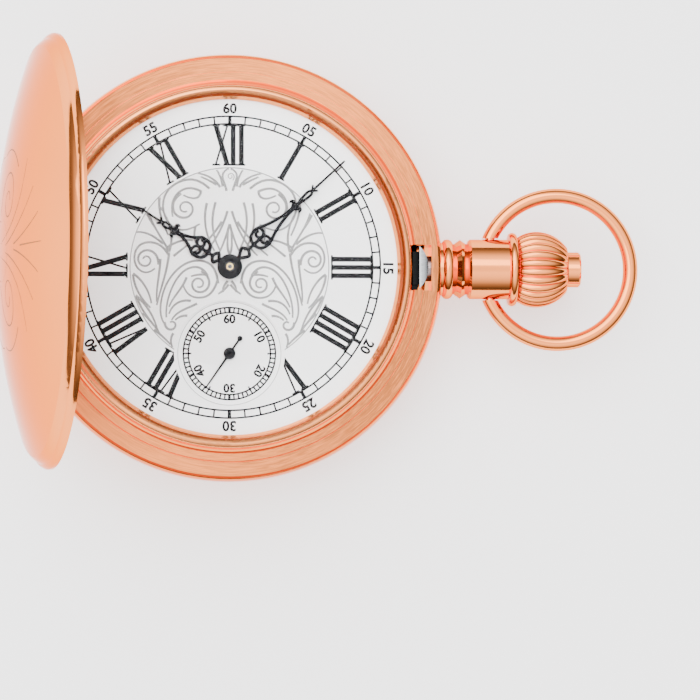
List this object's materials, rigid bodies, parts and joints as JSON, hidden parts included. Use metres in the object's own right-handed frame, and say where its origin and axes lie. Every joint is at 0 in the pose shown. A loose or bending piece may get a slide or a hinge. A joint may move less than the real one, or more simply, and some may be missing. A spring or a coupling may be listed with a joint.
{
  "type": "hunter pocket watch",
  "caption": "Hand-wound hunter pocket watch with a hinged front lid released by a button in the crown, a swinging bow, small seconds and a jewelled lever movement.",
  "frame": {"origin": "centre of the flat middle of the case back, where the watch rests", "axes": "+Z out of the dial, +X along the pendant at 3 o'clock, +Y to 12 o'clock; the lid's hinge is at -X"},
  "size_m": [0.0738, 0.049, 0.0564],
  "materials": {
    "rose_gold": "polished, with brushed bands",
    "steel": "satin",
    "nickelled_brass": "fine striped",
    "gilt_brass": "gilt",
    "ruby": "polished",
    "crystal": "polished",
    "dial": "silvered, sunray satin",
    "black_hands": "black, semi-gloss"
  },
  "bodies": {
    "case": {"case_middle": "rose_gold", "case_back": "rose_gold", "bezel": "rose_gold", "crystal": "crystal", "pendant": "rose_gold", "lid_hinge_pin": "rose_gold", "lift_spring": "steel", "spring_screws": "steel", "movement_ring": "nickelled_brass", "case_screws": "steel", "main_plate": "nickelled_brass", "barrel_bridge": "nickelled_brass", "train_bridge": "nickelled_brass", "balance_cock": "nickelled_brass", "pallet_bridge": "nickelled_brass", "bridge_screws": "steel", "pallet_bridge_screws": "steel", "plate_jewels": "ruby", "bridge_jewels": "ruby", "click_screw": "steel", "click_spring": "steel", "hairspring": "steel", "keyless_screws": "steel", "dial": "dial"},
    "lid": {"front_lid": "rose_gold"},
    "bow_ring": {"bow": "rose_gold"},
    "winding": {"winding_pinion": "steel"},
    "crown_stem": {"crown": "rose_gold", "winding_stem": "steel"},
    "button": {"crown_button": "rose_gold", "push_sleeve": "steel"},
    "catch": {"catch_spring": "steel"},
    "clutch": {"sliding_pinion": "steel"},
    "setting_lever_body": {"setting_lever": "steel"},
    "yoke_body": {"yoke": "steel"},
    "transmission": {"contrate_wheel": "steel", "crown_wheel": "steel", "crown_wheel_screw": "steel"},
    "ratchet": {"ratchet_wheel": "steel", "ratchet_screw": "steel", "barrel_arbor": "steel"},
    "click_body": {"click": "steel"},
    "regulator_body": {"regulator": "steel"},
    "pallet": {"pallet_fork": "steel"},
    "balance": {"balance_wheel": "gilt_brass", "balance_staff": "steel"},
    "seconds": {"fourth_wheel": "gilt_brass", "seconds_hand": "black_hands"},
    "escape": {"escape_wheel": "steel"},
    "third": {"third_wheel": "gilt_brass"},
    "minutes": {"centre_wheel": "gilt_brass", "cannon_pinion": "steel", "minute_hand": "black_hands"},
    "barrel": {"mainspring_barrel": "gilt_brass", "barrel_cover": "gilt_brass", "mainspring": "steel"},
    "minute_wheel_body": {"minute_wheel": "gilt_brass"},
    "hours": {"hour_wheel": "gilt_brass", "hour_hand": "black_hands"},
    "setting_wheel_body": {"setting_wheel": "steel"}
  },
  "joints": [
    {"name": "lid_hinge", "type": "hinge", "parent": "case", "child": "lid", "pos_m": [-0.024, 0, 0.0093], "axis": [0, -1, 0], "range_deg": [-81, 0], "stiffness_Nm_per_rad": 0.0016, "springref_deg": 17.19},
    {"name": "bow_swing", "type": "hinge", "parent": "case", "child": "bow_ring", "pos_m": [0.0301, 0, 0.0066], "axis": [0, -1, 0], "range_deg": [-90, 90]},
    {"name": "crown_turn", "type": "hinge", "parent": "case", "child": "winding", "pos_m": [0.03315, 0, 0.0066], "axis": [1, 0, 0], "continuous": true},
    {"name": "crown_pull", "type": "slide", "parent": "winding", "child": "crown_stem", "axis": [1, 0, 0], "range_m": [0, 0.0012]},
    {"name": "button_push", "type": "slide", "parent": "crown_stem", "child": "button", "axis": [-1, 0, 0], "range_m": [0, 0.0007], "stiffness_N_per_m": 1000, "springref_m": -0.0005},
    {"name": "catch_swing", "type": "hinge", "parent": "case", "child": "catch", "pos_m": [0.01379, -0.01643, 0.0066], "axis": [0, 0, 1], "range_deg": [0, 2.5]},
    {"name": "clutch_shift", "type": "slide", "parent": "winding", "child": "clutch", "axis": [-1, 0, 0], "range_m": [0, 0.0009]},
    {"name": "setting_lever_turn", "type": "hinge", "parent": "case", "child": "setting_lever_body", "pos_m": [0.01585, 0.0031, 0.0076], "axis": [0, 0, 1], "range_deg": [0, 23]},
    {"name": "yoke_turn", "type": "hinge", "parent": "case", "child": "yoke_body", "pos_m": [0.01175, -0.005, 0.0076], "axis": [0, 0, 1], "range_deg": [0, 14]},
    {"name": "transmission_turn", "type": "hinge", "parent": "case", "child": "transmission", "pos_m": [0.0114, 0, 0.00185], "axis": [0, 0, 1], "continuous": true},
    {"name": "ratchet_turn", "type": "hinge", "parent": "case", "child": "ratchet", "pos_m": [0.00245, 0.00913, 0.00185], "axis": [0, 0, 1], "continuous": true},
    {"name": "click_lift", "type": "hinge", "parent": "case", "child": "click_body", "pos_m": [-0.00663, 0.01106, 0.00185], "axis": [0, 0, -1], "range_deg": [0, 8]},
    {"name": "regulator_turn", "type": "hinge", "parent": "case", "child": "regulator_body", "pos_m": [0.0098, -0.00851, 0.00185], "axis": [0, 0, 1], "range_deg": [-15, 15]},
    {"name": "pallet_rock", "type": "hinge", "parent": "case", "child": "pallet", "pos_m": [0.00721, -0.00991, 0.0056], "axis": [0, 0, 1], "range_deg": [-5, 5]},
    {"name": "balance_swing", "type": "hinge", "parent": "case", "child": "balance", "pos_m": [0.0098, -0.00851, 0.0056], "axis": [0, 0, 1], "range_deg": [-270, 270], "stiffness_Nm_per_rad": 0.00000054},
    {"name": "seconds_turn", "type": "hinge", "parent": "case", "child": "seconds", "pos_m": [0, -0.00989, 0.009], "axis": [0, 0, -1], "continuous": true},
    {"name": "escape_turn", "type": "hinge", "parent": "case", "child": "escape", "pos_m": [0.00483, -0.01119, 0.0056], "axis": [0, 0, -1], "continuous": true},
    {"name": "third_turn", "type": "hinge", "parent": "case", "child": "third", "pos_m": [-0.00463, -0.00551, 0.0056], "axis": [0, 0, -1], "continuous": true},
    {"name": "minute_turn", "type": "hinge", "parent": "case", "child": "minutes", "pos_m": [0, 0, 0.00965], "axis": [0, 0, -1], "continuous": true},
    {"name": "barrel_turn", "type": "hinge", "parent": "case", "child": "barrel", "pos_m": [0.00245, 0.00913, 0.0056], "axis": [0, 0, -1], "continuous": true},
    {"name": "minute_wheel_turn", "type": "hinge", "parent": "case", "child": "minute_wheel_body", "pos_m": [-0.00229, 0.00132, 0.0076], "axis": [0, 0, -1], "continuous": true},
    {"name": "hour_turn", "type": "hinge", "parent": "case", "child": "hours", "pos_m": [0, 0, 0.00925], "axis": [0, 0, -1], "continuous": true},
    {"name": "setting_wheel_turn", "type": "hinge", "parent": "case", "child": "setting_wheel_body", "pos_m": [-0.00074, 0.004, 0.0076], "axis": [0, 0, -1], "continuous": true}
  ],
  "couplings": [
    {"joint": "catch_swing", "follows": "button_push", "rad_per_m": 60},
    {"joint": "clutch_shift", "follows": "crown_pull", "ratio": 0.74},
    {"joint": "setting_lever_turn", "follows": "crown_pull", "rad_per_m": 322},
    {"joint": "yoke_turn", "follows": "crown_pull", "rad_per_m": 195},
    {"joint": "transmission_turn", "follows": "crown_turn", "ratio": 0.66667},
    {"joint": "ratchet_turn", "follows": "crown_turn", "ratio": -0.42424},
    {"joint": "escape_turn", "follows": "seconds_turn", "ratio": -10},
    {"joint": "third_turn", "follows": "seconds_turn", "ratio": -0.13333},
    {"joint": "minute_turn", "follows": "seconds_turn", "ratio": 0.016667},
    {"joint": "barrel_turn", "follows": "seconds_turn", "ratio": -0.0025641},
    {"joint": "minute_wheel_turn", "follows": "seconds_turn", "ratio": -0.0055556},
    {"joint": "hour_turn", "follows": "seconds_turn", "ratio": 0.0013889},
    {"joint": "setting_wheel_turn", "follows": "seconds_turn", "ratio": 0.01}
  ]
}
